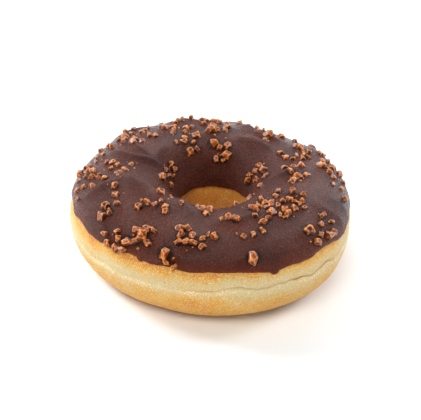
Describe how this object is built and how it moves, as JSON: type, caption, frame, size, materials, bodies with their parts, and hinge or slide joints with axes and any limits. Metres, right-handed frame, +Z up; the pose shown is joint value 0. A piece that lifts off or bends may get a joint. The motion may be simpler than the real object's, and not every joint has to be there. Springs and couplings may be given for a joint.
{
  "type": "chocolate doughnut",
  "caption": "Fried ring doughnut with dark chocolate icing over its upper half and broken milk chocolate nibs stuck in the icing.",
  "frame": {"origin": "middle of the doughnut's box in plan, close to the middle of its hole, on the surface that the doughnut lies on", "axes": "+Z up through the hole, -Y towards the side that the picture shows, +X to the right of that view"},
  "size_m": [0.0891, 0.0895, 0.0313],
  "materials": {
    "dough": "matte, fine-pored fried crust",
    "icing": "satin dark chocolate",
    "nibs": "satin milk chocolate, broken faces"
  },
  "bodies": {
    "root": {"dough_ring": "dough", "chocolate_icing": "icing"}
  },
  "joints": []
}
